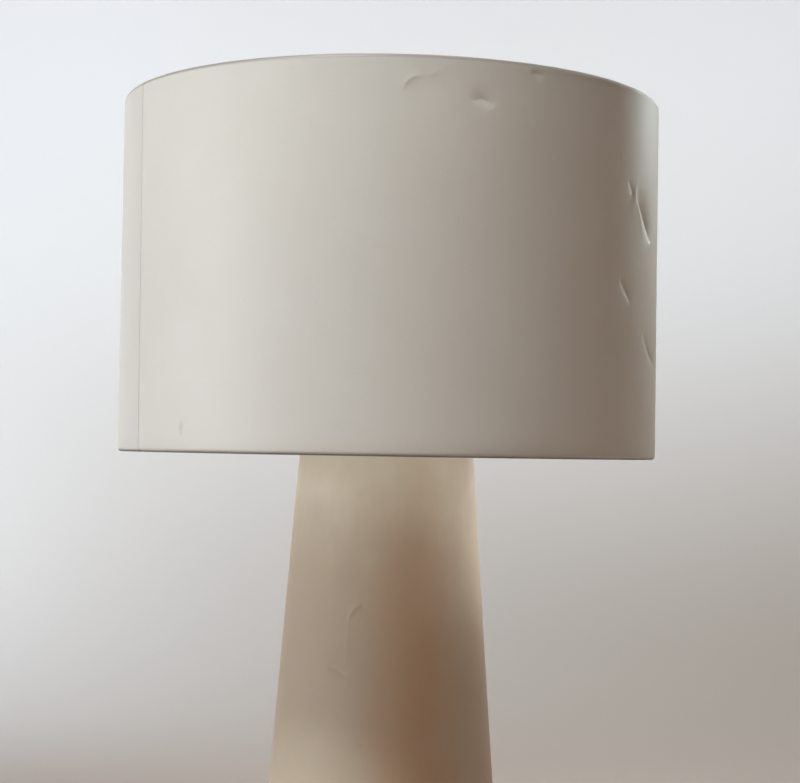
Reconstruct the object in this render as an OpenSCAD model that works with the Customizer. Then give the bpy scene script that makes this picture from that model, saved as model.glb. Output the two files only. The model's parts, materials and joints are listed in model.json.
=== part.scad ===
// Table lamp: a drum shade over a tapering column, both of thin laminated sheet on wire rings.
// A cast weight inside the foot of the column carries a central tube and the lampholder.
// Millimetres, +Z up. The origin is on the lamp's axis, on the surface that the lamp stands on.
// The front faces -Y and the mains lead enters at the back, at +Y.

/* [Shade] */
// Outer radius of the drum shade
shade_r = 200; // [190:1:210]
// Height of the drum shade
shade_h = 260; // [240:1:280]
// Height of the shade's bottom edge above the table
shade_base_z = 460; // [456:1:464]

/* [Column] */
// Outer radius of the column at its foot
column_foot_r = 99.5; // [99:0.5:101]
// Outer radius of the column at its open top
column_top_r = 63; // [60:0.5:66]
// Height of the column's top edge above the table
column_top_z = 490; // [487:1:493]

/* [Sheet and wire] */
// Thickness of the laminated sheet
sheet_t = 0.8; // [0.6:0.1:1]
// Radius of the wire in the rings and arms
wire_r = 2; // [1.8:0.1:2]

/* [Bulb] */
// Radius of the opal globe
globe_r = 30; // [28:1:32]
// Length of the bulb, from its contact to the top of the globe
bulb_l = 109; // [106:1:114]

/* [Hidden] */
$fn = 96;
through = 1;           // how far a cut runs past the face that it opens
fit = 0.03;            // clearance between a rolled edge and its wire, and in a threaded fit
rub = 0.05;            // clearance of a sliding or turning fit, and under a weld
slip = 0.5;            // clearance between round faces that turn freely

// Rolled edges: the sheet turns over the ring wire, from outside to inside
edge_r = wire_r + sheet_t;
hem_z = 3;
foot_ring_z = hem_z + edge_r;
column_ring_z = column_top_z - edge_r;
column_slope = atan((column_foot_r - column_top_r) / (column_top_z - hem_z));
shade_ring_r = shade_r - edge_r;
shade_low_ring_z = shade_base_z + edge_r;
shade_high_ring_z = shade_base_z + shade_h - edge_r;
weld_rise = 1.75 * wire_r;     // an arm's axis passes this far from the axis of the ring it is welded to

// Cast weight
felt_t = 2;
base_r = 90;
base_top_z = 22;
base_edge = 3;
well_r = 45;
well_top_z = 18;
cover_t = 1.5;
cover_r = 48;
cover_top_z = felt_t + cover_t;
felt_in_r = 76;
felt_out_r = 88;

// Lead entry at the back
cord_z = foot_ring_z + 7.7;
bush_bore_r = 3.3;
bush_barrel_r = 4.6;
bush_w = 9.8;
bush_in_y = 74;
bush_step_y = 88;
bush_flange_r = 6.4;
bush_flange_y = column_foot_r - 0.2;
bush_out_y = bush_flange_y + 2.6;
channel_w = bush_w + 0.2;

// Screws
m3_r = 1.5;
m3_head_r = 2.7;
m3_head_h = 1.5;
m4_r = 2;
m4_head_r = 3.8;
m4_head_h = 3;
lug_screw_r = 70;              // distance of the frame screws from the axis
lug_screw_z = 10;
cover_screw_r = 40;
cover_screw_angles = [30, 150, 270];
boss_r = 3.8;
clamp_x = 9.5;
clamp_y = 31;
clamp_low_z = 9;
clamp_high_z = 11.5;

// Terminal block, on the ceiling of the well
block_x = -22;
block_l = 16;
block_w = 22;
block_low_z = 5;
pole_y = 5.5;
pole_z = 9.5;
sleeve_r = 2.25;
pole_screw_x = 4;

// Frame lugs: each steps down from the top of the weight to the foot ring
lug_w = 12;
lug_t = 2.5;
lug_in_r = 62;
lug_step_r = base_r + 2;
lug_out_r = column_foot_r - 2;
lug_low_z = foot_ring_z + wire_r + rub;

// Threaded tube parts, M10 x 1
m10_r = 5;
m10_bore_r = 3.5;
nut_flats = 14;
nut_t = 3.5;
washer_t = 1.5;
tube_r = 8;
tube_top_z = column_top_z - 15;
lower_nut_z = well_top_z - washer_t - nut_t;
spider_hub_r = 12;
spider_hub_t = 4;
upper_nut_z = tube_top_z + spider_hub_t;
nipple_grip = 14;              // how far a nipple reaches into the tube
nipple_end = 0.5;              // how far the lower nipple stands out of its nut

// Lampholder, thread 40 mm over the skirt
cap_z = upper_nut_z + nut_t;
cap_neck_r = 9;
cap_neck_h = 5.5;
cap_r = 20;
cap_shoulder_z = cap_z + 13.5;
seat_z = cap_z + 28.5;
cap_in_r = 18;
skirt_r = 19.8;
skirt_in_r = 17.6;
skirt_h = 37;
skirt_lip_r = 14.6;
skirt_lip_h = 2.5;
spigot_r = cap_in_r - rub;
spigot_in_r = 16.2;
spigot_h = 5;
insert_r = 15.8;
insert_z = cap_shoulder_z + 1.2;
insert_top_z = seat_z + 4;
bar_z = cap_z + 19;
bar_r = 3;
bar_l = 54;
bar_travel = 6;
shell_r = 13.7;
shell_t = 0.4;
shell_z = insert_top_z + 1;
shell_h = 27;
strip_t = 0.8;
strip_w = 5;
contact_r = 2.5;
contact_screw_r = 9.5;         // distance of the two contact screws from the axis

// Shade seat, from the bottom: seat ring, shade hub, washer, retaining ring
ring_in_r = skirt_r + rub;
ring_out_r = 24.6;
seat_t = 4;
hub_z = seat_z + seat_t + rub;
hub_t = 2;
hub_in_r = skirt_r + slip;
hub_out_r = 26;
ring_washer_z = hub_z + hub_t + rub;
ring_washer_t = 1;
retainer_z = ring_washer_z + ring_washer_t + rub;
retainer_h = 6;
grip_count = 24;
grip_r = 1.2;

// Bulb with an E27 cap
bulb_z = insert_top_z + 2.9;
tip_r = 4.8;
tip_h = 1.4;
insulator_h = 3.6;
bulb_cap_r = 13.1;
bulb_cap_top_z = bulb_z + 26.1;
globe_z = bulb_z + bulb_l - globe_r;
globe_t = 1;
collar_r = 0.73 * globe_r;
collar_top_z = globe_z - sqrt(pow(globe_r, 2) - pow(collar_r, 2));
led_count = 8;

// Lead inside the lamp: out of the terminal block, round a bend and up the tube
lead_r = 2;
lead_bend_r = 5;
lead_sides = 8;
lead_start_x = block_x + block_l / 2 + rub;
lead_path = concat(
    [[lead_start_x, pole_z, 0]],
    [for (a = [0:15:90]) [-lead_bend_r + lead_bend_r * sin(a), pole_z + lead_bend_r * (1 - cos(a)), a]],
    [[0, insert_z - rub, 90]]
);

// Outer radius of the column's sheet at height z
function column_r(z) = column_foot_r - (z - hem_z) * tan(column_slope);
// Radius at which the column's ring wire lies at height z, inside the sheet
function column_ring_r(z) = column_r(z) - edge_r / cos(column_slope);

// A tube about the Z axis
module tube(out_r, in_r, z, h) {
    translate([0, 0, z]) difference() {
        cylinder(r = out_r, h = h);
        translate([0, 0, -through]) cylinder(r = in_r, h = h + 2 * through);
    }
}

// A wire ring about the Z axis
module wire_ring(r, z, wire = wire_r) {
    translate([0, 0, z]) rotate_extrude() translate([r, 0]) circle(wire);
}

// A wire between two places in the XZ plane, each given as [x, z]
module wire_arm(start, end) {
    run = end - start;
    translate([start.x, 0, start.y])
        rotate([0, atan2(run.x, run.y), 0])
            cylinder(r = wire_r, h = norm(run));
}

// A screw with its head's seat at the origin and its shank along +Z
module screw(shank_r, shank_l, head_r, head_h) {
    cylinder(r = shank_r, h = shank_l);
    difference() {
        translate([0, 0, -head_h]) cylinder(r = head_r, h = head_h);
        for (a = [0, 90]) rotate(a)
            translate([-0.6 * head_r, -0.15 * head_r, -head_h - through])
                cube([1.2 * head_r, 0.3 * head_r, through + 0.5 * head_h]);
    }
}

module hex_nut(z) {
    translate([0, 0, z]) difference() {
        cylinder(d = nut_flats / cos(30), h = nut_t, $fn = 6);
        translate([0, 0, -through]) cylinder(r = m10_r, h = nut_t + 2 * through);
    }
}

// Half of a rolled edge, above the centre of its wire
module half_roll() {
    intersection() {
        difference() {
            circle(edge_r);
            circle(wire_r + fit);
        }
        translate([-edge_r, 0]) square([2 * edge_r, edge_r]);
    }
}

// Section of a sheet that is rolled over a wire at both ends, from the lower wire's centre up
module rolled_sheet(length) {
    translate([wire_r + fit, 0]) square([sheet_t - fit, length]);
    translate([0, length]) half_roll();
    mirror([0, 1]) half_roll();
}

module felt_ring() color("DarkOliveGreen") tube(felt_out_r, felt_in_r, 0, felt_t);

module base_weight() color("DimGray") difference() {
    union() {
        difference() {
            rotate_extrude() polygon([
                [0, felt_t], [base_r - 1, felt_t], [base_r, felt_t + 1],
                [base_r, base_top_z - base_edge], [base_r - base_edge, base_top_z], [0, base_top_z]
            ]);
            translate([0, 0, -through]) cylinder(r = well_r, h = well_top_z + through);
            cylinder(r = cover_r + 0.2, h = cover_top_z);
            translate([-channel_w / 2, 0, 0]) cube([channel_w, base_r + through, cord_z + channel_w / 2]);
        }
        for (a = cover_screw_angles) rotate(a)
            translate([cover_screw_r, 0, cover_top_z]) cylinder(r = boss_r, h = well_top_z - cover_top_z + 1);
        for (x = [-clamp_x, clamp_x])
            translate([x, clamp_y, clamp_high_z]) cylinder(r = boss_r, h = well_top_z - clamp_high_z + 1);
    }
    cylinder(r = m10_r + 0.2, h = base_top_z + through);
    for (a = cover_screw_angles) rotate(a) translate([cover_screw_r, 0, 0]) cylinder(r = m3_r, h = 13);
    for (x = [-clamp_x, clamp_x]) translate([x, clamp_y, 0]) cylinder(r = m3_r, h = 17.5);
    translate([block_x, 0, 0]) cylinder(r = m3_r, h = 20.5);
    for (a = [45:90:315]) rotate(a) translate([lug_screw_r, 0, 0]) {
        cylinder(r = m4_r + 0.2, h = base_top_z + through);
        cylinder(r = m4_head_r + 0.7, h = lug_screw_z);
    }
}

module well_cover() color("Silver") difference() {
    tube(cover_r, 4, felt_t, cover_t);
    for (a = cover_screw_angles) rotate(a) translate([cover_screw_r, 0, 0]) cylinder(r = m3_r + 0.2, h = 5);
}

module cover_screws() color("LightSteelBlue") for (a = cover_screw_angles)
    rotate(a) translate([cover_screw_r, 0, felt_t]) screw(m3_r - fit, 10, m3_head_r, m3_head_h);

module terminal_block() color("Ivory") difference() {
    translate([block_x - block_l / 2, -block_w / 2, block_low_z])
        cube([block_l, block_w, well_top_z - block_low_z]);
    translate([block_x, 0, 0]) cylinder(r = m3_r + 0.1, h = well_top_z + through);
    for (y = [-pole_y, pole_y]) {
        translate([block_x - block_l, y, pole_z]) rotate([0, 90, 0]) cylinder(r = sleeve_r, h = 2 * block_l);
        for (x = [-pole_screw_x, pole_screw_x])
            translate([block_x + x, y, 0]) cylinder(r = 1.7, h = pole_z);
    }
}

module terminal_sleeves() color("Goldenrod") for (y = [-pole_y, pole_y])
    translate([block_x - block_l / 2 + 1, y, pole_z]) rotate([0, 90, 0])
        tube(sleeve_r - fit, 1.5, 0, block_l - 2);

module terminal_screws() color("LightSteelBlue")
    for (x = [-pole_screw_x, pole_screw_x], y = [-pole_y, pole_y])
        translate([block_x + x, y, block_low_z + 0.5]) cylinder(r = 1.6, h = 1.6);

module block_screw() color("LightSteelBlue")
    translate([block_x, 0, block_low_z]) screw(m3_r - fit, 15, m3_head_r, m3_head_h - 0.3);

module cord_clamp() color("Ivory") difference() {
    translate([-clamp_x - 4, clamp_y - 4, clamp_low_z])
        cube([2 * clamp_x + 8, 8, clamp_high_z - clamp_low_z]);
    for (x = [-clamp_x, clamp_x]) translate([x, clamp_y, 0]) cylinder(r = m3_r + 0.2, h = 15);
}

module clamp_screws() color("LightSteelBlue") for (x = [-clamp_x, clamp_x])
    translate([x, clamp_y, clamp_low_z]) screw(m3_r - fit, 8, m3_head_r, m3_head_h);

module cord_bush() color("Ivory") difference() {
    union() {
        translate([-bush_w / 2, bush_in_y, cord_z - bush_w / 2])
            cube([bush_w, bush_step_y - bush_in_y, bush_w]);
        translate([0, bush_in_y, cord_z]) rotate([-90, 0, 0])
            cylinder(r = bush_barrel_r, h = bush_out_y - bush_in_y);
        translate([0, bush_flange_y, cord_z]) rotate([-90, 0, 0])
            cylinder(r = bush_flange_r, h = bush_out_y - bush_flange_y);
    }
    translate([0, bush_in_y - through, cord_z]) rotate([-90, 0, 0])
        cylinder(r = bush_bore_r, h = bush_out_y - bush_in_y + 2 * through);
}

module lower_nut() color("Goldenrod") hex_nut(lower_nut_z);

module lower_washer() color("Silver") tube(spider_hub_r, m10_r + rub, well_top_z - washer_t, washer_t);

module lower_nipple() color("Goldenrod")
    tube(m10_r - fit, m10_bore_r, lower_nut_z - nipple_end, base_top_z + nipple_grip - lower_nut_z + nipple_end);

module center_tube() color("Silver") tube(tube_r, m10_r, base_top_z, tube_top_z - base_top_z);

module upper_nipple() color("Goldenrod")
    tube(m10_r - fit, m10_bore_r, tube_top_z - nipple_grip, cap_z + 7.5 - tube_top_z + nipple_grip);

module upper_nut() color("Goldenrod") hex_nut(upper_nut_z);

module foot_ring() color("White") wire_ring(column_ring_r(foot_ring_z), foot_ring_z);

module column_top_ring() color("White") wire_ring(column_ring_r(column_ring_z), column_ring_z);

module frame_lugs() color("White") for (a = [45:90:315]) rotate(a) difference() {
    translate([0, lug_w / 2, 0]) rotate([90, 0, 0]) linear_extrude(lug_w) polygon([
        [lug_in_r, base_top_z], [lug_step_r, base_top_z], [lug_step_r, lug_low_z],
        [lug_out_r, lug_low_z], [lug_out_r, lug_low_z + lug_t], [lug_step_r + lug_t, lug_low_z + lug_t],
        [lug_step_r + lug_t, base_top_z + lug_t], [lug_in_r, base_top_z + lug_t]
    ]);
    translate([lug_screw_r, 0, base_top_z - through]) cylinder(r = m4_r, h = lug_t + 2 * through);
}

module frame_screws() color("LightSteelBlue") for (a = [45:90:315])
    rotate(a) translate([lug_screw_r, 0, lug_screw_z]) screw(m4_r - fit, 16, m4_head_r, m4_head_h);

module column_spider() color("White") difference() {
    union() {
        translate([0, 0, tube_top_z]) cylinder(r = spider_hub_r, h = spider_hub_t);
        for (a = [0:90:270]) rotate(a) wire_arm(
            [spider_hub_r - 2, tube_top_z + wire_r - 0.1],
            [column_ring_r(column_ring_z), column_ring_z - weld_rise]
        );
    }
    wire_ring(column_ring_r(column_ring_z), column_ring_z, wire_r + rub);
    translate([0, 0, tube_top_z - through]) cylinder(r = m10_r + rub, h = spider_hub_t + 2 * through);
}

module column_cover() color("AntiqueWhite") difference() {
    rotate_extrude()
        translate([column_ring_r(foot_ring_z), foot_ring_z])
            rotate(column_slope)
                rolled_sheet((column_ring_z - foot_ring_z) / cos(column_slope));
    translate([0, base_r, cord_z]) rotate([-90, 0, 0]) cylinder(r = bush_barrel_r + 0.4, h = 20);
}

module inner_lead() {
    rings = len(lead_path);
    points = [
        for (p = lead_path, k = [0:lead_sides - 1])
            let (turn = 360 * k / lead_sides)
                [p[0] - lead_r * cos(turn) * sin(p[2]), lead_r * sin(turn), p[1] + lead_r * cos(turn) * cos(p[2])]
    ];
    sides = [
        for (i = [0:rings - 2], k = [0:lead_sides - 1])
            let (a = i * lead_sides + k, b = i * lead_sides + (k + 1) % lead_sides)
                each [[a, b, b + lead_sides], [a, b + lead_sides, a + lead_sides]]
    ];
    first = [for (k = [lead_sides - 1:-1:0]) k];
    last = [for (k = [0:lead_sides - 1]) (rings - 1) * lead_sides + k];
    color("WhiteSmoke") polyhedron(points, concat(sides, [first, last]));
}

module lampholder_cap() color("White") difference() {
    rotate_extrude() polygon([
        [m10_r, cap_z], [cap_neck_r, cap_z], [cap_neck_r, cap_z + cap_neck_h],
        [cap_r, cap_shoulder_z], [cap_r, seat_z], [cap_in_r, seat_z], [cap_in_r, cap_shoulder_z + 1],
        [cap_neck_r - 1, cap_z + cap_neck_h + 2.5], [m10_r, cap_z + cap_neck_h + 2.5]
    ]);
    translate([-cap_r - through, 0, bar_z]) rotate([0, 90, 0])
        cylinder(r = bar_r + 0.4, h = 2 * (cap_r + through));
}

module lampholder_body() color("White") rotate_extrude() polygon([
    [spigot_in_r, seat_z - spigot_h], [spigot_r, seat_z - spigot_h], [spigot_r, seat_z],
    [skirt_r, seat_z], [skirt_r, seat_z + skirt_h], [skirt_lip_r, seat_z + skirt_h],
    [skirt_lip_r, seat_z + skirt_h - skirt_lip_h], [skirt_in_r, seat_z + skirt_h - skirt_lip_h],
    [skirt_in_r, insert_top_z], [spigot_in_r, insert_top_z]
]);

module lampholder_insert() color("Ivory") difference() {
    translate([0, 0, insert_z]) cylinder(r = insert_r, h = insert_top_z - insert_z);
    translate([-insert_r - through, 0, bar_z]) rotate([0, 90, 0])
        cylinder(r = bar_r + rub, h = 2 * (insert_r + through));
    for (x = [-contact_screw_r, contact_screw_r])
        translate([x, 0, insert_top_z - 5]) cylinder(r = m3_r, h = 5 + through);
}

module screw_shell() color("Goldenrod") tube(shell_r + shell_t, shell_r, shell_z, shell_h);

module center_contact() color("Goldenrod") {
    difference() {
        translate([-contact_screw_r - 2.5, -strip_w / 2, insert_top_z]) cube([contact_screw_r + 5, strip_w, strip_t]);
        translate([-contact_screw_r, 0, insert_top_z - through]) cylinder(r = m3_r, h = 3);
    }
    translate([0, 0, insert_top_z + strip_t]) cylinder(r = contact_r, h = 1.8);
}

module shell_contact() color("Goldenrod") difference() {
    union() {
        translate([contact_screw_r - 3, -strip_w / 2, insert_top_z])
            cube([shell_r + shell_t + 1.1 - contact_screw_r + 3, strip_w, strip_t]);
        translate([shell_r + shell_t + 0.3, -strip_w / 2, insert_top_z]) cube([strip_t, strip_w, 10]);
    }
    translate([contact_screw_r, 0, insert_top_z - through]) cylinder(r = m3_r, h = 3);
}

module contact_screws() color("LightSteelBlue") for (x = [-contact_screw_r, contact_screw_r])
    translate([x, 0, insert_top_z + strip_t]) mirror([0, 0, 1]) screw(m3_r - fit, 5, 2.2, 1.2);

module switch_bar() color("White")
    translate([-(bar_l + bar_travel) / 2, 0, bar_z]) rotate([0, 90, 0]) {
        cylinder(r = bar_r, h = bar_l);
        translate([0, 0, bar_l]) cylinder(r1 = bar_r, r2 = bar_r - 0.8, h = 1);
        translate([0, 0, -1]) cylinder(r1 = bar_r - 0.8, r2 = bar_r, h = 1);
    }

module shade_seat_ring() color("White") tube(ring_out_r, ring_in_r, seat_z, seat_t);

module ring_washer() color("Tan") tube(ring_out_r - 0.6, ring_in_r, ring_washer_z, ring_washer_t);

module retaining_ring() color("White") difference() {
    tube(ring_out_r, ring_in_r, retainer_z, retainer_h);
    for (k = [0:grip_count - 1]) rotate(k * 360 / grip_count)
        translate([ring_out_r + 0.5 * grip_r, 0, retainer_z - through])
            cylinder(r = grip_r, h = retainer_h + 2 * through);
}

module shade_hub() color("White") tube(hub_out_r, hub_in_r, hub_z, hub_t);

module shade_arms() color("White") difference() {
    for (a = [90:120:330]) rotate(a) wire_arm(
        [hub_out_r + rub, hub_z + hub_t / 2],
        [shade_ring_r, shade_low_ring_z + weld_rise]
    );
    wire_ring(shade_ring_r, shade_low_ring_z, wire_r + rub);
    translate([0, 0, hub_z - 5]) cylinder(r = hub_out_r + rub, h = 10);
}

module shade_bottom_ring() color("White") wire_ring(shade_ring_r, shade_low_ring_z);

module shade_top_ring() color("White") wire_ring(shade_ring_r, shade_high_ring_z);

module shade_cover() color("AntiqueWhite") rotate_extrude()
    translate([shade_ring_r, shade_low_ring_z]) rolled_sheet(shade_high_ring_z - shade_low_ring_z);

module bulb_tip() color("Silver") translate([0, 0, bulb_z]) {
    cylinder(r1 = tip_r - 1.5, r2 = tip_r, h = 0.6);
    translate([0, 0, 0.6]) cylinder(r = tip_r, h = tip_h - 0.6);
}

module bulb_insulator() color("Black") translate([0, 0, bulb_z + tip_h])
    cylinder(r1 = tip_r, r2 = bulb_cap_r - 1.6, h = insulator_h);

module bulb_cap() color("Silver") tube(
    bulb_cap_r, bulb_cap_r - 0.5, bulb_z + tip_h + insulator_h, bulb_cap_top_z - bulb_z - tip_h - insulator_h
);

module bulb_collar() color("White") rotate_extrude() polygon([
    [0, bulb_cap_top_z], [bulb_cap_r - 0.2, bulb_cap_top_z], [bulb_cap_r, bulb_cap_top_z + 4],
    [collar_r, collar_top_z], [0, collar_top_z]
]);

module led_board() color("LightYellow") {
    translate([0, 0, collar_top_z]) cylinder(r = collar_r - 3, h = 1.5);
    for (k = [0:led_count - 1]) rotate(k * 360 / led_count)
        translate([collar_r - 8, -1.5, collar_top_z + 1]) cube([3, 3, 1.3]);
}

module bulb_globe() color("White") difference() {
    translate([0, 0, globe_z]) sphere(globe_r);
    translate([0, 0, globe_z]) sphere(globe_r - globe_t);
    translate([-globe_r, -globe_r, collar_top_z - 2 * globe_r]) cube(2 * globe_r);
}

felt_ring();
base_weight();
well_cover();
cover_screws();
terminal_block();
terminal_sleeves();
terminal_screws();
block_screw();
cord_clamp();
clamp_screws();
cord_bush();
lower_nut();
lower_washer();
lower_nipple();
center_tube();
upper_nipple();
upper_nut();
foot_ring();
column_top_ring();
frame_lugs();
frame_screws();
column_spider();
column_cover();
inner_lead();
lampholder_cap();
lampholder_body();
lampholder_insert();
screw_shell();
center_contact();
shell_contact();
contact_screws();
switch_bar();
shade_seat_ring();
ring_washer();
retaining_ring();
shade_hub();
shade_arms();
shade_bottom_ring();
shade_top_ring();
shade_cover();
bulb_tip();
bulb_insulator();
bulb_cap();
bulb_collar();
led_board();
bulb_globe();
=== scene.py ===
"""Looks of a table lamp: two laminated sheets on wire rings, every finish, a studio and a camera.

Metres throughout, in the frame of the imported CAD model: +Z up, the front faces -Y.
A place on a sheet is a turn, in degrees from the front towards +X, and a rise over its lower ring.
"""
import json
import math
from collections import namedtuple

import bmesh
import bpy
import numpy as np
from mathutils import Matrix, Vector, noise


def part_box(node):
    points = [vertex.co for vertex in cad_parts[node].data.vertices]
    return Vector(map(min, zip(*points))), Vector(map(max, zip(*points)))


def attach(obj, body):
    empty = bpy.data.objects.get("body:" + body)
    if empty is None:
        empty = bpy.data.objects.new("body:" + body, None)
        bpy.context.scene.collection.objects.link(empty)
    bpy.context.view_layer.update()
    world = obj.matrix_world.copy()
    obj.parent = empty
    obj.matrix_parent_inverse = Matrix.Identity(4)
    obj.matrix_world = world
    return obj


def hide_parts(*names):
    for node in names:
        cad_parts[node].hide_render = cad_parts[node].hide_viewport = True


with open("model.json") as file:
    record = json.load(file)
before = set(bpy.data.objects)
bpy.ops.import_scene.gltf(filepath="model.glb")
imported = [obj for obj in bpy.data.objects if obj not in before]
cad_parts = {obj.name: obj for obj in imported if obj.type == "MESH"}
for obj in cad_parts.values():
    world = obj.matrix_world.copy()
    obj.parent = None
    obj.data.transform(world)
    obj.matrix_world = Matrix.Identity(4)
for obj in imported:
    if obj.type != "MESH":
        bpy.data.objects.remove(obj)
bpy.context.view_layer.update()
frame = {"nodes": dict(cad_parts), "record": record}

MM = 0.001
scene = bpy.context.scene


# ---------------------------------------------------------------- camera
# The photograph's viewing angle: a little below the middle, looking slightly up.
CAMERA_DISTANCE = 1.321
CAMERA_HEIGHT = 0.4656
CAMERA_LENS = 78.88
CAMERA_SENSOR = 36
CAMERA_YAW = -0.00714
CAMERA_PITCH = 0.03227
CAMERA_ROLL = 0.01677


def place_camera():
    data = bpy.data.cameras.new("camera")
    data.lens = CAMERA_LENS
    data.sensor_width = CAMERA_SENSOR
    data.sensor_fit = "HORIZONTAL"
    camera = bpy.data.objects.new("camera", data)
    scene.collection.objects.link(camera)
    camera.matrix_world = (
        Matrix.Translation((0, -CAMERA_DISTANCE, CAMERA_HEIGHT))
        @ Matrix.Rotation(CAMERA_YAW, 4, "Z")
        @ Matrix.Rotation(math.pi / 2 + CAMERA_PITCH, 4, "X")
        @ Matrix.Rotation(CAMERA_ROLL, 4, "Z")
    )
    scene.camera = camera


# ---------------------------------------------------------------- meshes
def make_object(name, vertices, faces, sharp_angle=40):
    """A smooth-shaded mesh object, with sharp edges where its faces meet at more than sharp_angle."""
    mesh = bpy.data.meshes.new(name)
    mesh.from_pydata([tuple(v) for v in vertices], [], [tuple(f) for f in faces])
    mesh.shade_smooth()
    mesh.set_sharp_from_angle(angle=math.radians(sharp_angle))
    mesh.validate()
    thing = bpy.data.objects.new(name, mesh)
    scene.collection.objects.link(thing)
    return thing


def lathe(name, profile, steps):
    """A surface turned about the Z axis from (radius, height) points, open at both ends of the profile."""
    profile = np.array(profile, float)
    turns = np.linspace(0, 2 * math.pi, steps, endpoint=False)
    count = len(profile)
    vertices = np.stack(
        [
            np.outer(np.cos(turns), profile[:, 0]),
            np.outer(np.sin(turns), profile[:, 0]),
            np.tile(profile[:, 1], (steps, 1)),
        ],
        axis=-1,
    ).reshape(-1, 3)
    faces = [
        (i * count + j, (i + 1) % steps * count + j, (i + 1) % steps * count + j + 1, i * count + j + 1)
        for i in range(steps)
        for j in range(count - 1)
    ]
    return make_object(name, vertices, faces)


# ---------------------------------------------------------------- node-based finishes
class Finish:
    """A node-based material. add() makes a node, and a socket given as a value becomes a link."""

    def __init__(self, name):
        self.material = bpy.data.materials.new(name)
        self.material.use_nodes = True
        self.tree = self.material.node_tree
        self.tree.nodes.clear()
        self.output = self.add("OutputMaterial")
        self.place = self.add("TexCoord").outputs["Object"]

    def add(self, kind, values=None, **settings):
        node = self.tree.nodes.new("ShaderNode" + kind)
        for name, value in settings.items():
            setattr(node, name, value)
        for socket, value in (values or {}).items():
            if isinstance(value, bpy.types.NodeSocket):
                self.tree.links.new(value, node.inputs[socket])
            else:
                node.inputs[socket].default_value = value
        return node

    def stretched(self, scale, place=None):
        """Coordinates scaled by three factors."""
        values = {"Vector": place or self.place, "Scale": scale}
        return self.add("Mapping", values).outputs["Vector"]

    def noise(self, scale, detail=3, rough=0.55, place=None, warp=0):
        values = {"Vector": place or self.place, "Scale": scale, "Detail": detail}
        values.update({"Roughness": rough, "Distortion": warp})
        return self.add("TexNoise", values).outputs["Fac"]

    def cells(self, scale, place=None):
        values = {"Vector": place or self.place, "Scale": scale}
        return self.add("TexVoronoi", values).outputs["Distance"]

    def remap(self, value, low, high, to_low=0.0, to_high=1.0, smooth=False):
        kind = "SMOOTHSTEP" if smooth else "LINEAR"
        values = {"Value": value, 1: low, 2: high, 3: to_low, 4: to_high}
        return self.add("MapRange", values, interpolation_type=kind).outputs["Result"]

    def math(self, operation, first, second=0.0):
        return self.add("Math", {0: first, 1: second}, operation=operation).outputs[0]

    def blend(self, share, first, second):
        """A colour mix. Colours are (r, g, b) or sockets."""
        values = {0: share, 6: opaque(first), 7: opaque(second)}
        return self.add("Mix", values, data_type="RGBA").outputs[2]

    def bump(self, height, depth, strength):
        values = {"Height": height, "Distance": depth, "Strength": strength}
        return self.add("Bump", values).outputs["Normal"]

    def surface(self, shader):
        self.tree.links.new(shader, self.output.inputs["Surface"])
        return self.material


def opaque(colour):
    return colour if isinstance(colour, bpy.types.NodeSocket) else (*colour, 1.0)


# ---------------------------------------------------------------- laminated sheet
SHEET_T = 0.32 * MM
SHEET_GAP = 0.02 * MM       # air between the two layers of the overlap
ROLL_TURN = 220             # degrees that an edge curls round its ring
ROLL_STEP = 15
CREASE_STEPS = 24
FINE_STEP = 1.0 * MM        # grid spacing over a crease
COARSE_TURN = 2.5           # grid spacing elsewhere, in degrees
COARSE_RISE = 8 * MM
HOLE_MARGIN = 7 * MM
TUCK = 7 * MM               # how soon the inner layer of the overlap steps inwards
SEAM_DRIFT = 12             # degrees beside the seam that follow its slant
EDGE_CALM = 4 * MM          # the wall stays true this close to a ring
RIPPLE_WAVES = 14
Ring = namedtuple("Ring", "radius height wire")
Crease = namedtuple("Crease", "points depth left right")
Dimple = namedtuple("Dimple", "turn rise wide tall depth")


def ring_of(node):
    """The centre radius, height and wire radius of one of the frame's wire rings."""
    low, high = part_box(node)
    wire = (high[2] - low[2]) / 2
    return Ring(high[0] - wire, (low[2] + high[2]) / 2, wire)


def grid_lines(low, high, coarse, fine, spots, growth=0.35):
    """Places from low to high, at the fine spacing over the spots and spreading out to the coarse one."""
    lines = [low]
    while lines[-1] < high:
        here = lines[-1]
        away = min([max(0, first - here, here - last) for first, last in spots] + [high - low])
        lines.append(here + min(coarse, fine + growth * away))
    lines = np.array(lines)
    return low + (lines - low) * (high - low) / (lines[-1] - low)


def bezier(points):
    t = np.linspace(0, 1, CREASE_STEPS + 1)[:, None]
    a, b, c = np.array(points, float)
    return (1 - t) ** 2 * a + 2 * t * (1 - t) * b + t * t * c


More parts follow.
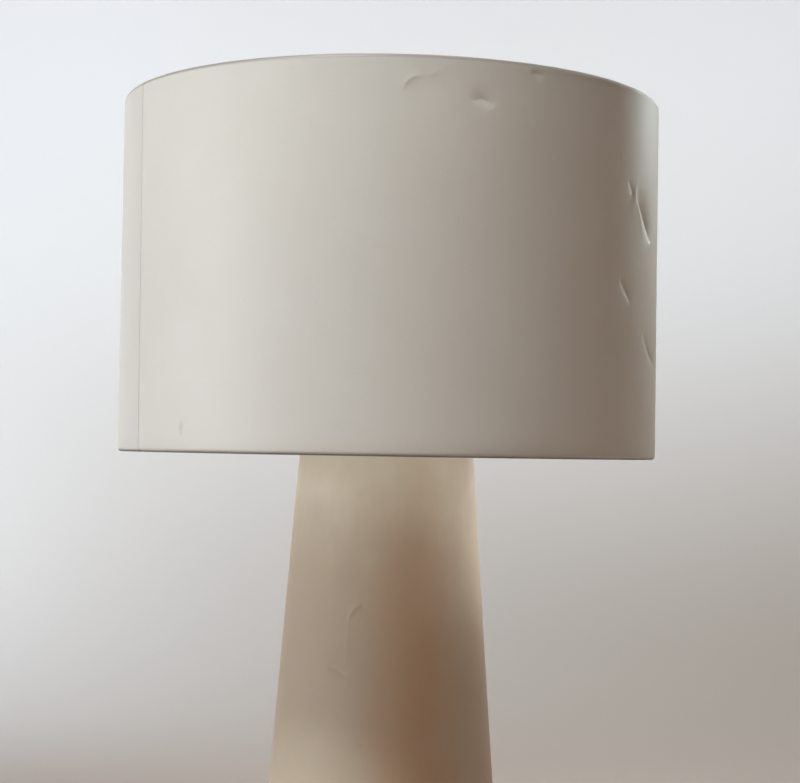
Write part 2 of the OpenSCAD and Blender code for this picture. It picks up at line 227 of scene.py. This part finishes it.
def crease_offset(crease, across, rise, radius):
    """How far a crease moves a sheet outwards. across and rise are places on the sheet in metres.

    depth is at the crease's line, and left and right are how far it fades on each side, in mm.
    """
    control = [(math.radians(turn) * radius, height * MM) for turn, height in crease.points]
    line = bezier(control)
    reach = 4.5 * max(crease.left, crease.right) * MM
    offset = np.zeros(across.shape)
    near = (
        (across > line[:, 0].min() - reach)
        & (across < line[:, 0].max() + reach)
        & (rise > line[:, 1].min() - reach)
        & (rise < line[:, 1].max() + reach)
    )
    here = np.stack([across[near], rise[near]], axis=-1)[:, None]
    step = line[1:] - line[:-1]
    from_start = here - line[:-1]
    along = np.clip((from_start * step).sum(-1) / (step * step).sum(-1), 0, 1)
    gap = from_start - along[..., None] * step
    distance = np.hypot(gap[..., 0], gap[..., 1])
    nearest = distance.argmin(axis=1)
    row = np.arange(len(nearest))
    gap = gap[row, nearest]
    on_right = gap[:, 0] * step[nearest, 1] - gap[:, 1] * step[nearest, 0] > 0
    place = (nearest + along[row, nearest]) / CREASE_STEPS
    fade = np.where(on_right, crease.right, crease.left) * MM
    strength = np.sin(math.pi * np.clip(place, 0, 1)) ** 0.7
    offset[near] = crease.depth * MM * strength * np.exp(-distance[row, nearest] / fade)
    return offset


def dimple_offset(dimple, across, rise, radius):
    """How far a broad, soft dent moves a sheet outwards."""
    wide = (across - math.radians(dimple.turn) * radius) / (dimple.wide * MM)
    tall = (rise - dimple.rise * MM) / (dimple.tall * MM)
    return dimple.depth * MM * np.exp(-(wide**2) - tall**2)


def ripple(turn, share, seed, depth):
    """A slight unevenness all over a sheet: sums of waves, from fixed random numbers."""
    random = np.random.default_rng(seed)
    total = np.zeros(turn.shape)
    for _ in range(RIPPLE_WAVES):
        waves_round = random.integers(2, 15)
        waves_up = random.uniform(0.2, 1.8)
        phase = random.uniform(0, 2 * math.pi, 2)
        upward = np.sin(math.pi * waves_up * share + phase[1])
        total += np.sin(waves_round * turn + phase[0]) * upward / waves_round
    return depth * total


def spans(folds, radius):
    """The turns and the rises that a list of creases and dimples needs a fine grid over."""
    turns, rises = [], []
    for fold in folds:
        if isinstance(fold, Crease):
            reach = 1.3 * max(fold.left, fold.right)
            side = math.degrees(reach * MM / radius)
            turns.append((min(p[0] for p in fold.points) - side, max(p[0] for p in fold.points) + side))
            rises.append((min(p[1] for p in fold.points) - reach, max(p[1] for p in fold.points) + reach))
    return turns, rises


def ease(share):
    share = np.clip(share, 0, 1)
    return share * share * (3 - 2 * share)


def rolled_sheet(name, lower, upper, edge_r, seam, overlap, folds, seed, uneven, hole=None):
    """A closed, thin sheet wrapped round two rings, rolled over both and lapped at a seam.

    seam is the turn of the free outer edge at the bottom and at the top. hole is a Dimple whose wide
    is the hole's radius, and tall how far the grid round it gives way. Returns the object and the
    length of the sheet's section.
    """
    run = np.array([upper.radius - lower.radius, upper.height - lower.height])
    length = math.hypot(*run)
    along = run / length
    out = np.array([along[1], -along[0]])
    radius = lower.radius + edge_r
    bend = edge_r - SHEET_T / 2
    turn_spots, rise_spots = spans(folds, radius)
    turn_spots = [(a + k, b + k) for a, b in turn_spots for k in (0, 360)]
    rise_spots = [(a * MM, b * MM) for a, b in rise_spots]
    if hole:
        turn_spots.append((hole.turn - 5, hole.turn + 5))
        rise_spots.append((hole.rise * MM - HOLE_MARGIN, hole.rise * MM + HOLE_MARGIN))
    lap = math.degrees(overlap / radius)
    turn_spots += [(seam[0] - lap - 1, seam[0] + 1.5), (seam[0] - lap + 359, seam[0] + 360)]
    fine_turn = math.degrees(FINE_STEP / radius)
    turns = grid_lines(seam[0] - lap, seam[0] + 360, COARSE_TURN, fine_turn, turn_spots)
    rises = grid_lines(0, length, COARSE_RISE, FINE_STEP, rise_spots)
    if hole:
        side = math.degrees(hole.wide * MM / radius)
        turns = snap(turns, [hole.turn - side, hole.turn + side])
        rises = snap(rises, [(hole.rise - hole.wide) * MM, (hole.rise + hole.wide) * MM])

    roll = np.radians(np.arange(0, ROLL_TURN + 1, ROLL_STEP))
    roll_out = np.outer(np.cos(roll), out) + np.outer(np.sin(roll), along)
    low_roll_out = (np.outer(np.cos(roll), out) - np.outer(np.sin(roll), along))[:0:-1]
    centre = np.concatenate([
        np.tile([lower.radius, lower.height], (len(low_roll_out), 1)),
        [lower.radius, lower.height] + np.outer(rises, along),
        np.tile([upper.radius, upper.height], (len(roll) - 1, 1)),
    ])
    outward = np.concatenate([low_roll_out, np.tile(out, (len(rises), 1)), roll_out[1:]])
    rise = np.concatenate([-bend * roll[:0:-1], rises, length + bend * roll[1:]])

    share = np.clip(rise / length, 0, 1)
    start_shift = ease(1 - (turns - turns[0] - lap) / SEAM_DRIFT)
    end_shift = ease((turns - turns[-1] + SEAM_DRIFT) / SEAM_DRIFT)
    turn = turns[:, None] + np.outer(start_shift + end_shift, share * (seam[1] - seam[0]))
    tucked = ease(1 - (turns - turns[0] - lap) * math.radians(radius) / TUCK)

    across = np.radians(turn) * radius
    level = np.tile(rise, (len(turns), 1))
    moved = np.zeros(turn.shape)
    for fold in folds:
        offset = crease_offset if isinstance(fold, Crease) else dimple_offset
        for whole_turn in (0, 2 * math.pi * radius):
            moved += offset(fold, across - whole_turn, level, radius)
    moved += ripple(np.radians(turn), share[None, :], seed, uneven)
    on_wall = (rise >= 0) & (rise <= length)
    free = np.where(on_wall, ease(np.minimum(rise, length - rise) / EDGE_CALM), 0)
    away_from_lap = 1 - np.maximum(tucked, ease((turns - turns[-1] + lap + 2) / 2))
    moved *= free[None, :] * away_from_lap[:, None]
    bent = bend - (SHEET_T + SHEET_GAP) * tucked[:, None] + moved

    turn, slid = open_hole(hole, turn, level, radius) if hole else (turn, 0 * turn)
    layers = []
    for side in (0.5, -0.5):
        distance = bent + side * SHEET_T
        r = centre[:, 0] + slid * along[0] + distance * outward[:, 0]
        z = centre[:, 1] + slid * along[1] + distance * outward[:, 1]
        x, y = r * np.sin(np.radians(turn)), -r * np.cos(np.radians(turn))
        layers.append(np.stack([x, y, z], axis=-1))
    flat = np.stack([np.radians(turn) * radius, level + slid], axis=-1)
    gone = inside_hole(hole, turns, rise, radius) if hole else None
    return sheet_object(name, layers, flat, gone), length + 2 * bend * roll[-1]


def hole_place(hole, turn, rise, radius):
    """Places on a sheet as seen from a hole's centre, and their distance as a square counts it."""
    aside = np.radians(turn - hole.turn) * radius
    above = rise - hole.rise * MM
    return aside, above, np.maximum(np.abs(aside), np.abs(above))


def open_hole(hole, turn, rise, radius):
    """Slides the grid round a hole so that its square cells end on a circle. Returns turns and rises."""
    aside, above, square = hole_place(hole, turn, rise, radius)
    size = hole.wide * MM
    share = ease((hole.tall * MM - square) / (hole.tall * MM - size))
    scale = 1 + share * (square / np.maximum(np.hypot(aside, above), 1e-9) - 1)
    return hole.turn + np.degrees(aside * scale / radius), above * (scale - 1)


def inside_hole(hole, turns, rises, radius):
    """Which cells of the grid lie in the hole."""
    middle_turn = (turns[1:] + turns[:-1])[:, None] / 2
    middle_rise = (rises[1:] + rises[:-1])[None, :] / 2
    return hole_place(hole, middle_turn, middle_rise, radius)[2] < hole.wide * MM


def snap(lines, places):
    """Moves the nearest of the grid's lines on to each place."""
    for place in places:
        lines[np.abs(lines - place).argmin()] = place
    return lines


def sheet_object(name, layers, flat, gone):
    """A closed sheet from its outer and inner layers, two grids of points, with its flat places as UVs."""
    rows = layers[0].shape[1]
    count = layers[0].shape[0] * rows
    corner = np.arange(count).reshape(-1, rows)
    quads = np.stack([corner[:-1, :-1], corner[1:, :-1], corner[1:, 1:], corner[:-1, 1:]], axis=-1)
    quads = quads.reshape(-1, 4) if gone is None else quads[~gone]
    first = quads.ravel()
    second = np.roll(quads, -1, axis=1).ravel()
    open_edge = ~np.isin(first * count + second, second * count + first)
    first, second = first[open_edge], second[open_edge]
    rim = np.stack([second, first, first + count, second + count], axis=-1)
    faces = np.concatenate([quads, quads[:, ::-1] + count, rim])
    used = np.unique(faces)
    renumber = np.zeros(2 * count, int)
    renumber[used] = np.arange(len(used))
    points = np.concatenate([layer.reshape(-1, 3) for layer in layers])[used]
    thing = make_object(name, points.tolist(), renumber[faces].tolist(), 60)
    flat = np.concatenate([flat.reshape(-1, 2)] * 2)[used]
    mesh = thing.data
    corners = np.empty(len(mesh.loops), int)
    mesh.loops.foreach_get("vertex_index", corners)
    mesh.uv_layers.new(name="flat").data.foreach_set("uv", flat[corners].ravel())
    return thing


# Creases and dents: turns in degrees and rises in mm along the sheet, depths in mm, outwards positive.
SHADE_FOLDS = [
    # front, high: a wrinkle with two specks, over a shallow dent
    Crease([(2.0, 232.8), (2.3, 242.5), (5.3, 242.8)], 0.50, 2.5, 1.4),
    Crease([(6.9, 242.6), (7.6, 245.0), (8.6, 246.4)], 0.24, 1.6, 1.2),
    Crease([(9.3, 248.8), (10.0, 250.6), (11.3, 251.5)], 0.20, 1.6, 1.2),
    Dimple(6.5, 233.0, 15, 9, -0.30),
    # a crescent, the soft ring round it and a nick by the rim
    Crease([(15.0, 226.7), (16.7, 234.4), (19.3, 224.9)], -0.85, 4.5, 4.5),
    Crease([(23.6, 237.2), (25.2, 231.6), (23.6, 225.5)], -0.10, 3.0, 3.0),
    Crease([(27.0, 250.3), (28.6, 251.2), (29.8, 248.9)], -0.45, 1.8, 2.5),
    Dimple(17.0, 224.0, 18, 13, -0.12),
    # right: a long fold that opens downwards, and two small ones under it
    Crease([(57.8, 183.5), (60.2, 177.5), (63.2, 153.0)], 1.2, 5.0, 7.0),
    Crease([(58.6, 181.0), (64.5, 174.0), (68.4, 152.0)], -2.8, 7.0, 5.0),
    Crease([(55.4, 190.0), (57.0, 186.0), (58.0, 179.0)], -0.6, 2.5, 2.5),
    Crease([(52.2, 120.8), (55.2, 113.5), (56.8, 106.4)], -1.3, 3.0, 2.6),
    Crease([(63.6, 86.8), (68.5, 74.5), (73.4, 65.6)], -2.2, 4.5, 3.5),
    Dimple(34.3, 165.5, 9, 9, -0.08),
    Dimple(36.7, 49.8, 9, 9, -0.08),
    # sides and back
    Crease([(-150, 190), (-146, 199), (-141, 187)], -0.45, 5.0, 4.0),
    Crease([(172, 92), (168, 84), (165, 70)], -0.40, 4.0, 5.0),
    Crease([(128, 226), (124, 233), (119, 224)], -0.40, 4.0, 5.0),
    Crease([(-104, 60), (-101, 70), (-103, 84)], -0.35, 4.0, 3.0),
    Dimple(-125, 130, 26, 18, -0.25),
    Dimple(105, 90, 24, 20, -0.22),
]
COLUMN_FOLDS = [
    # front, from a hook with a line under it down to small dents, and two under the shade
    Crease([(-19.6, 336.0), (-19.0, 346.5), (-11.8, 348.8)], 1.0, 2.4, 1.6),
    Crease([(-19.4, 338.0), (-20.5, 320.0), (-19.6, 303.0)], 0.30, 2.0, 2.0),
    Crease([(-30.5, 303.2), (-24.5, 302.5), (-19.4, 297.6)], -1.2, 2.5, 3.0),
    Crease([(-38.0, 266.8), (-33.1, 260.0), (-28.8, 268.0)], -1.0, 2.5, 3.0),
    Crease([(-13.4, 255.0), (-10.3, 248.5), (-7.3, 254.0)], -0.6, 2.0, 2.0),
    Crease([(-1.2, 433.4), (2.3, 428.8), (6.0, 433.5)], -0.3, 2.0, 2.0),
    Crease([(9.0, 425.5), (12.0, 424.2), (15.2, 424.8)], -0.3, 2.0, 2.0),
    # sides and back
    Crease([(20, 150), (26, 158), (31, 149)], -0.25, 3.0, 3.0),
    Crease([(-120, 180), (-114, 190), (-108, 182)], -0.30, 3.0, 3.0),
    Crease([(95, 120), (99, 130), (104, 118)], -0.30, 3.0, 3.0),
    Crease([(-150, 330), (-156, 338), (-161, 328)], -0.30, 3.0, 3.0),
]
SHADE_SEAM = (-59.8, -61.3)
COLUMN_SEAM = (140, 140)
OVERLAP = 12 * MM
CORD_HOLE = Dimple(180, 7.7, 5.2, 7.4, 0)
# Patches on the paper, in degrees and mm: the shade's is a real stain, and the column's are painted light
# and shade, a paler band round its top for light from under the shade and a warm brown patch on its front
# right for warm shade. A sheet's turns start at its seam, so the column's front is 360.
StainAndLightPatch = namedtuple("StainAndLightPatch", "turn rise wide tall share colour")
SHADE_MARKS = [StainAndLightPatch(-44.3, 14.3, 2.6, 6.2, 0.30, (0.40, 0.34, 0.24))]
COLUMN_PAINTED_LIGHT = [
    # Painted light: a paler band round the column's top.
    StainAndLightPatch(0, 478, 3000, 90, 1.0, (0.90, 0.84, 0.70)),
    # Painted shade: a warm brown patch on the column's front right.
    StainAndLightPatch(389, 250, 48, 190, 0.55, (0.74, 0.47, 0.26)),
]


def make_sheets():
    """The shade's and the column's sheets, in place of the two plain CAD covers."""
    shade_low, shade_high = ring_of("shade_bottom_ring"), ring_of("shade_top_ring")
    foot, top = ring_of("foot_ring"), ring_of("column_top_ring")
    edge_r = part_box("shade_cover")[1][0] - shade_low.radius
    shade, drop = rolled_sheet(
        "shade_sheet", shade_low, shade_high, edge_r, SHADE_SEAM, OVERLAP, SHADE_FOLDS, 3, 0.12 * MM
    )
    column, slant = rolled_sheet(
        "column_sheet", foot, top, edge_r, COLUMN_SEAM, OVERLAP, COLUMN_FOLDS, 8, 0.08 * MM, CORD_HOLE
    )
    drop_wall = shade_high.height - shade_low.height
    stand_wall = top.height - foot.height
    shade.data.materials.append(
        laminate("shade_laminate", SHADE_PAPER, drop_wall, shade_low.radius, SHADE_MARKS, SHADE_ROUGH)
    )
    column.data.materials.append(
        laminate("column_laminate", COLUMN_PAPER, stand_wall, foot.radius, COLUMN_PAINTED_LIGHT, COLUMN_ROUGH)
    )
    for sheet, body, covered in ((shade, "shade", "shade_cover"), (column, "base", "column_cover")):
        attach(sheet, body)
        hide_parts(covered)


# ---------------------------------------------------------------- laminate
# Each paper's colour in front light, and the colour of the light that comes through it.
SHADE_PAPER = ((0.79, 0.765, 0.735), (0.88, 0.80, 0.69))
COLUMN_PAPER = ((0.70, 0.595, 0.465), (0.78, 0.64, 0.44))
SHADE_ROUGH = (0.40, 0.52)
COLUMN_ROUGH = (0.60, 0.74)
SHOW_THROUGH = 0.25
AGED_BAND = 14 * MM
DARKER = (0.93, 0.905, 0.86)
OLDER = (0.93, 0.88, 0.76)
SPECK = (0.42, 0.33, 0.22)
# Painted shade laid on the rolled edges.
ROLL_PAINTED_SHADE = (0.14, 0.125, 0.11)


def laminate(name, papers, wall, radius, patches, rough):
    """A fibrous paper under a satin film, yellowed towards its edges, with painted shade on its rolled
    edges and tinted patches that are real stains and painted light and shade.

    wall is the distance between the rings, and radius turns a patch's angle into a place on the sheet.
    """
    face, through = papers
    finish = Finish(name)
    flat = finish.add("UVMap", uv_map="flat").outputs["UV"]
    rise = finish.add("SeparateXYZ", {0: flat}).outputs["Y"]
    from_middle = finish.math("ABSOLUTE", finish.math("SUBTRACT", rise, wall / 2))
    clouds = finish.noise(16, 4, 0.6, flat, 0.4)
    fibres = finish.noise(1, 4, 0.7, finish.stretched((420, 1500, 1), flat), 1.5)
    pulp = finish.noise(260, 3, 0.6, flat)
    specks = finish.remap(finish.cells(150, flat), 0.035, 0.06, 1, 0)
    yellow = finish.remap(from_middle, wall / 2 - AGED_BAND, wall / 2, 0, 0.08, True)
    # Painted shade: the upper roll's top and the lower roll's underside are darkened.
    painted_shade_over_roll = finish.remap(rise, wall - 0.6 * MM, wall + 1.6 * MM, 0, 0.75, True)
    painted_shade_under_roll = finish.remap(rise, -2.4 * MM, -1.0 * MM, 0.75, 0, True)
    roll_shade_share = finish.math("MAXIMUM", painted_shade_over_roll, painted_shade_under_roll)
    shares = []
    # Patches: a real stain on the shade, painted light and shade on the column.
    for patch in patches:
        centre = (math.radians(patch.turn) * radius, patch.rise * MM, 0)
        aside = finish.add("VectorMath", {0: flat, 1: centre}, operation="SUBTRACT").outputs[0]
        stretched = finish.stretched((1 / (patch.wide * MM), 1 / (patch.tall * MM), 1), aside)
        distance = finish.add("VectorMath", {0: stretched}, operation="LENGTH").outputs["Value"]
        frayed = finish.noise(max(20, 1.2 / (patch.wide * MM)), 3, 0.6, flat)
        ragged = finish.math("ADD", distance, finish.math("MULTIPLY", frayed, 0.9))
        shares.append(finish.remap(ragged, 0.5, 1.7, patch.share, 0, True))
    tones = []
    for colour in (face, through):
        darker = tuple(c * k for c, k in zip(colour, DARKER))
        older = tuple(c * k for c, k in zip(colour, OLDER))
        tone = finish.blend(finish.remap(clouds, 0.3, 0.75, 0, 0.4), colour, darker)
        tone = finish.blend(finish.remap(fibres, 0.45, 0.8, 0, 0.35), tone, darker)
        tone = finish.blend(finish.math("MULTIPLY", specks, 0.30), tone, SPECK)
        tone = finish.blend(yellow, tone, older)
        for share, patch in zip(shares, patches):
            tone = finish.blend(share, tone, patch.colour)
        tones.append(finish.blend(roll_shade_share, tone, ROLL_PAINTED_SHADE))
    skin = finish.bump(finish.math("ADD", fibres, pulp), 0.02 * MM, 0.6)
    roughness = finish.remap(pulp, 0.3, 0.7, *rough)
    values = {"Base Color": tones[0], "Roughness": roughness, "IOR": 1.5, "Normal": skin}
    values.update({"Sheen Weight": 0.35, "Sheen Roughness": 0.4})
    film = finish.add("BsdfPrincipled", values).outputs[0]
    glow = finish.add("BsdfTranslucent", {"Color": tones[1], "Normal": skin}).outputs[0]
    mixed = finish.add("MixShader", {0: SHOW_THROUGH, 1: film, 2: glow}).outputs[0]
    return finish.surface(mixed)


# ---------------------------------------------------------------- hard parts
def hard(name, light, dark, metallic=0, rough=(0.3, 0.5), grain=900, depth=0.02, lines=None):
    """A hard surface: two tones in patches, uneven gloss, a fine grain and, if asked for, tool lines.

    depth is the grain's, in mm, and lines how close the tool lines lie along each axis.
    """
    finish = Finish(name)
    blotch = finish.noise(30, 5, 0.6, warp=0.3)
    fine = finish.noise(grain, 3, 0.6)
    tone = finish.blend(finish.remap(blotch, 0.35, 0.7), light, dark)
    height = fine
    if lines:
        scratches = finish.noise(1, 3, 0.6, finish.stretched(lines))
        height = finish.math("ADD", fine, scratches)
        tone = finish.blend(finish.remap(scratches, 0.4, 0.75, 0, 0.5), tone, dark)
    roughness = finish.remap(blotch, 0.3, 0.7, *rough)
    values = {"Base Color": tone, "Roughness": roughness, "Metallic": metallic}
    values["Normal"] = finish.bump(height, depth * MM, 0.7)
    return finish.surface(finish.add("BsdfPrincipled", values).outputs[0])


FRAME_SHARP = 35
RING_LINES = (60, 60, 9000)
COATS = {
    "felt": dict(
        light=(0.055, 0.06, 0.05), dark=(0.02, 0.024, 0.018),
        rough=(0.95, 1), grain=2600, depth=0.5,
    ),
    "cast_iron": dict(
        light=(0.05, 0.05, 0.052), dark=(0.022, 0.022, 0.024),
        rough=(0.45, 0.7), grain=700, depth=0.12,
    ),
    "zinc_sheet": dict(
        light=(0.62, 0.64, 0.66), dark=(0.45, 0.47, 0.5),
        metallic=1, rough=(0.3, 0.5), grain=1500, depth=0.01,
    ),
    "plated_screw": dict(
        light=(0.7, 0.71, 0.72), dark=(0.5, 0.5, 0.5),
        metallic=1, rough=(0.2, 0.4), grain=2500, depth=0.01,
    ),
    "terminal_plastic": dict(light=(0.78, 0.76, 0.70), dark=(0.70, 0.67, 0.6), rough=(0.35, 0.5)),
    "brass": dict(
        light=(0.80, 0.60, 0.28), dark=(0.55, 0.38, 0.15),
        metallic=1, rough=(0.2, 0.42), grain=1500, depth=0.01, lines=RING_LINES,
    ),
    "steel_tube": dict(
        light=(0.6, 0.6, 0.6), dark=(0.42, 0.42, 0.42),
        metallic=1, rough=(0.28, 0.5), grain=900, depth=0.01,
    ),
    "wire_white": dict(
        light=(0.80, 0.79, 0.76), dark=(0.68, 0.66, 0.61),
        rough=(0.3, 0.45), grain=1400, depth=0.04,
    ),
    "lead_sheath": dict(
        light=(0.76, 0.75, 0.72), dark=(0.66, 0.64, 0.6),
        rough=(0.4, 0.55), grain=800, depth=0.02,
    ),
    "holder_plastic": dict(light=(0.80, 0.79, 0.76), dark=(0.74, 0.72, 0.68), rough=(0.22, 0.36)),
    "insert_plastic": dict(light=(0.72, 0.66, 0.52), dark=(0.62, 0.56, 0.43), rough=(0.3, 0.45)),
    "fibre": dict(
        light=(0.42, 0.20, 0.13), dark=(0.30, 0.13, 0.08),
        rough=(0.55, 0.75), grain=1800, depth=0.05,
    ),
    "aluminium": dict(
        light=(0.78, 0.78, 0.79), dark=(0.6, 0.6, 0.61),
        metallic=1, rough=(0.25, 0.42), grain=1500, depth=0.01, lines=RING_LINES,
    ),
    "black_glass": dict(
        light=(0.02, 0.02, 0.022), dark=(0.008, 0.008, 0.01),
        rough=(0.06, 0.15), grain=500, depth=0.01,
    ),
    "bulb_plastic": dict(
        light=(0.82, 0.81, 0.79), dark=(0.76, 0.75, 0.72),
        rough=(0.32, 0.45), grain=1600, depth=0.02,
    ),
    "led_substrate": dict(light=(0.86, 0.86, 0.84), dark=(0.78, 0.78, 0.75), rough=(0.3, 0.45)),
    "opal": dict(
        light=(0.88, 0.88, 0.86), dark=(0.84, 0.84, 0.82),
        rough=(0.28, 0.4), grain=1200, depth=0.01,
    ),
}


def finish_frame():
    """Gives every CAD node its finish and smooth shading. Returns the finishes by their slot."""
    made = {slot: hard(slot, **coat) for slot, coat in COATS.items()}
    for part in frame["record"]["subparts"]:
        node = frame["nodes"][part["node"]]
        if part["material_slot"] in made:
            node.data.materials.clear()
            node.data.materials.append(made[part["material_slot"]])
        node.data.shade_smooth()
        node.data.set_sharp_from_angle(angle=math.radians(FRAME_SHARP))
    return made


# ---------------------------------------------------------------- small pieces
THREAD_PITCH = 3.6 * MM
THREAD_STEPS = 48           # round one turn
RING_TRAVEL = 7.5 * MM      # how far the retaining ring rises as it unscrews
BEAD = 1.9 * MM
BEAD_SHAPE = Vector((1.15, 1.15, 0.95))
BEAD_LUMPS = 0.16


def sweep(name, rings):
    """A closed solid through rings of points, each ring in the same order."""
    rings = np.array(rings, float)
    steps, count = rings.shape[:2]
    faces = [
        (i * count + j, i * count + (j + 1) % count, (i + 1) * count + (j + 1) % count, (i + 1) * count + j)
        for i in range(steps - 1)
        for j in range(count)
    ]
    faces += [tuple(range(count))[::-1], tuple(range((steps - 1) * count, steps * count))]
    return make_object(name, rings.reshape(-1, 3), faces)


def thread_rib(name, radius, low, high, proud):
    """A rounded rib that winds up a cylinder, fading out at both ends."""
    turns = (high - low) / THREAD_PITCH
    rings = []
    steps = int(THREAD_STEPS * turns)
    for k in range(steps + 1):
        share = k / steps
        turn = 2 * math.pi * turns * share
        rise = low + (high - low) * share
        out = proud * min(1.0, 6 * share * turns, 6 * (1 - share) * turns)
        section = [(-0.3 * MM, -1.0 * MM), (0.5 * out, -0.75 * MM), (out, -0.3 * MM)]
        section += [(across, -up) for across, up in section[::-1]]
        rings.append([
            ((radius + across) * math.cos(turn), (radius + across) * math.sin(turn), rise + up)
            for across, up in section
        ])
    return sweep(name, rings)


def weld_beads(name, places):
    """Uneven beads of weld, as one piece, at (angle, radius, height) places."""
    points, faces = [], []
    for k, (angle, radius, height) in enumerate(places):
        centre = Vector((radius * math.cos(angle), radius * math.sin(angle), height))
        shape = bmesh.new()
        bmesh.ops.create_icosphere(shape, subdivisions=3, radius=1)
        start = len(points)
        for v in shape.verts:
            lump = 1 + BEAD_LUMPS * noise.noise(v.co * 1.7 + Vector((k, 2 * k, 0)))
            points.append(centre + v.co * BEAD_SHAPE * BEAD * lump)
        faces += [[start + v.index for v in f.verts] for f in shape.faces]
        shape.free()
    return make_object(name, points, faces, 180)


def add_small_pieces(made):
    """Weld beads where the wires meet, and the threads of the lampholder's skirt and the bulb's cap."""
    column_top, shade_low = ring_of("column_top_ring"), ring_of("shade_bottom_ring")
    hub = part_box("shade_hub")
    under = 0.9 * shade_low.wire
    quarter = [(k * math.pi / 2, column_top.radius, column_top.height - under) for k in range(4)]
    thirds = [math.radians(a) for a in (90, 210, 330)]
    rim = [(a, shade_low.radius, shade_low.height + under) for a in thirds]
    rim += [(a, hub[1][0], (hub[0][2] + hub[1][2]) / 2) for a in thirds]
    skirt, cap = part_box("lampholder_body"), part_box("bulb_cap")
    ring_at_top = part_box("retaining_ring")[1][2] + RING_TRAVEL
    above_ring, below_lip = ring_at_top + 1.5 * MM, skirt[1][2] - 4.5 * MM
    cap_low, cap_high = cap[0][2] + 3 * MM, cap[1][2] - 3 * MM
    pieces = [
        (weld_beads("column_welds", quarter), "base", "wire_white"),
        (weld_beads("shade_welds", rim), "shade", "wire_white"),
        (
            thread_rib("skirt_thread", skirt[1][0], above_ring, below_lip, 0.45 * MM),
            "base",
            "holder_plastic",
        ),
        (
            thread_rib("cap_thread", cap[1][0] - 0.1 * MM, cap_low, cap_high, 0.4 * MM),
            "bulb_rising",
            "aluminium",
        ),
    ]
    for piece, body, slot in pieces:
        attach(piece, body)
        piece.data.materials.append(made[slot])


# ---------------------------------------------------------------- studio
FLOOR_R = 1.4
WALL_R = 3.6
WALL_H = 3.2
FLOOR_TONE = (0.46, 0.43, 0.41)
WALL_TONE = (0.55, 0.55, 0.55)
# Softboxes: a key from the upper left, soft fills on the lamp, and the rest to light the room evenly.
Lamp = namedtuple("Lamp", "name place aim size spread power colour")
LAMPS = [
    Lamp("key", (-0.85, -1.01, 3.02), (0, 0, 0.85), (0.9, 0.9), 50, 9.2, (0.92, 1.0, 1.0)),
    Lamp("left", (-2.20, -0.70, 0.45), (0, 0, 0.22), (1.8, 0.8), 60, 4.7, (0.84, 0.92, 1.0)),
    Lamp("behind", (1.50, 1.70, 1.30), (0, 0, 0.66), (0.5, 0.5), 16, 0.29, (0.86, 1.0, 1.0)),
    Lamp("right_low", (1.30, 0.10, 0.05), (0, 0, 0.425), (0.06, 0.06), 8, 0.026, (0.92, 0.97, 1.0)),
    Lamp("above", (0.0, 0.3, 2.9), (0, 0, 0.60), (1.2, 1.2), 70, 5.5, (1.0, 0.52, 0.28)),
    Lamp("wall_middle", (0.1, 0.6, 2.8), (0.1, 3.6, 1.1), (3.6, 0.6), 120, 40, (1.0, 0.92, 0.80)),
    Lamp("wall_low", (-1.5, 0.7, 1.3), (-0.9, 2.9, 0.0), (0.8, 0.8), 90, 18, (0.76, 0.88, 1.0)),
    Lamp("wall_right", (0.6, 0.5, 2.3), (1.0, 3.6, 1.6), (0.8, 0.8), 80, 12, (0.68, 0.82, 1.0)),
    Lamp("wall_left", (-1.2, 0.8, 2.4), (-1.4, 3.6, 2.2), (0.8, 0.8), 80, 12.9, (0.67, 0.79, 1.0)),
    Lamp("room_front", (0.0, -0.6, 2.8), (0, -3.6, 1.1), (3.6, 0.6), 120, 21.5, (1.0, 0.81, 0.62)),
    Lamp("room_left", (-0.9, -0.2, 2.9), (-3.6, -0.2, 1.2), (0.6, 2.0), 120, 12, (1.0, 0.83, 0.70)),
    Lamp("room_right", (0.9, -0.2, 2.9), (3.6, -0.2, 1.2), (0.6, 2.0), 120, 12, (1.0, 0.77, 0.57)),
]
SKY = (0.01, 0.01, 0.01)


def build_studio():
    """A round floor that curves up into a wall."""
    fillet = WALL_R - FLOOR_R
    arc = np.linspace(0, math.pi / 2, 13)
    profile = [(0.001, -0.0001), (0.6, -0.0001)]
    profile += [(FLOOR_R + fillet * math.sin(a), fillet * (1 - math.cos(a))) for a in arc]
    profile.append((WALL_R, WALL_H))
    stage = lathe("stage", profile, 128)
    finish = Finish("stage")
    height = finish.add("SeparateXYZ", {0: finish.place}).outputs["Z"]
    up = finish.remap(height, 0.0, 1.0, 0, 1, True)
    paint = finish.blend(up, FLOOR_TONE, WALL_TONE)
    values = {"Base Color": paint, "Roughness": 0.9, "Specular IOR Level": 0.2}
    stage.data.materials.append(finish.surface(finish.add("BsdfPrincipled", values).outputs[0]))


def light_studio():
    """The softboxes and a faint sky."""
    for lamp in LAMPS:
        data = bpy.data.lights.new(lamp.name, "AREA")
        data.shape = "RECTANGLE"
        data.size, data.size_y = lamp.size
        data.energy = lamp.power
        data.color = lamp.colour
        data.spread = math.radians(lamp.spread)
        thing = bpy.data.objects.new(lamp.name, data)
        scene.collection.objects.link(thing)
        thing.location = lamp.place
        towards = Vector(lamp.aim) - Vector(lamp.place)
        thing.rotation_euler = towards.to_track_quat("-Z", "Y").to_euler()
        thing.visible_camera = False
    world = bpy.data.worlds.new("sky")
    world.use_nodes = True
    world.node_tree.nodes["Background"].inputs["Color"].default_value = (*SKY, 1)
    scene.world = world


# ---------------------------------------------------------------- what happens
place_camera()
build_studio()
light_studio()
make_sheets()
add_small_pieces(finish_frame())
scene.view_settings.view_transform = "Standard"
scene.cycles.use_denoising = True
